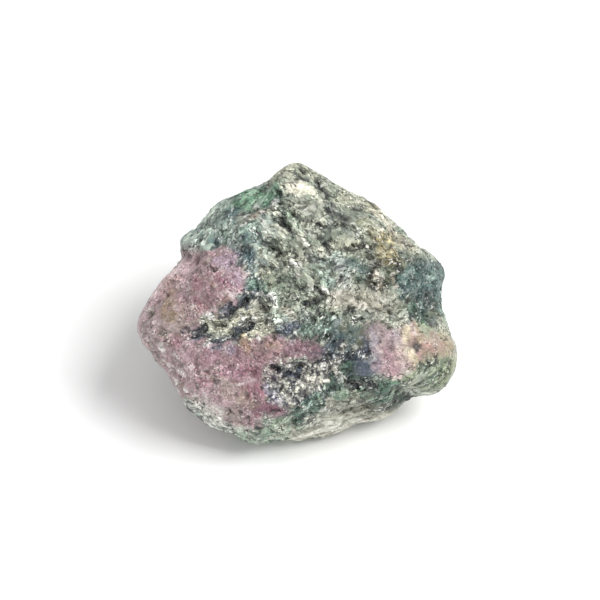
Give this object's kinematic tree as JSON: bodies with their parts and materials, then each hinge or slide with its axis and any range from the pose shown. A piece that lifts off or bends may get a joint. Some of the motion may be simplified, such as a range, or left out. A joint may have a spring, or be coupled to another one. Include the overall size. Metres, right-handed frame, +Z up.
{
  "type": "ruby in fuchsite specimen",
  "caption": "Rough broken lump of green mica schist with pink ruby grown through it, lying on a flat broken face.",
  "frame": {"origin": "under the middle of the lump's box, on the face that it rests on", "axes": "+X along the longest side of the lump, +Z up; the show face with the ruby looks towards -Y and up"},
  "size_m": [0.04, 0.032, 0.0275],
  "materials": {
    "schist": "rough broken mica schist, grey-green to cream, with glinting flakes",
    "ruby": "granular pink to mauve corundum, waxy where it is smooth",
    "mica": "pearly cream to green mica flakes"
  },
  "bodies": {
    "root": {"stone": "schist"}
  },
  "joints": []
}
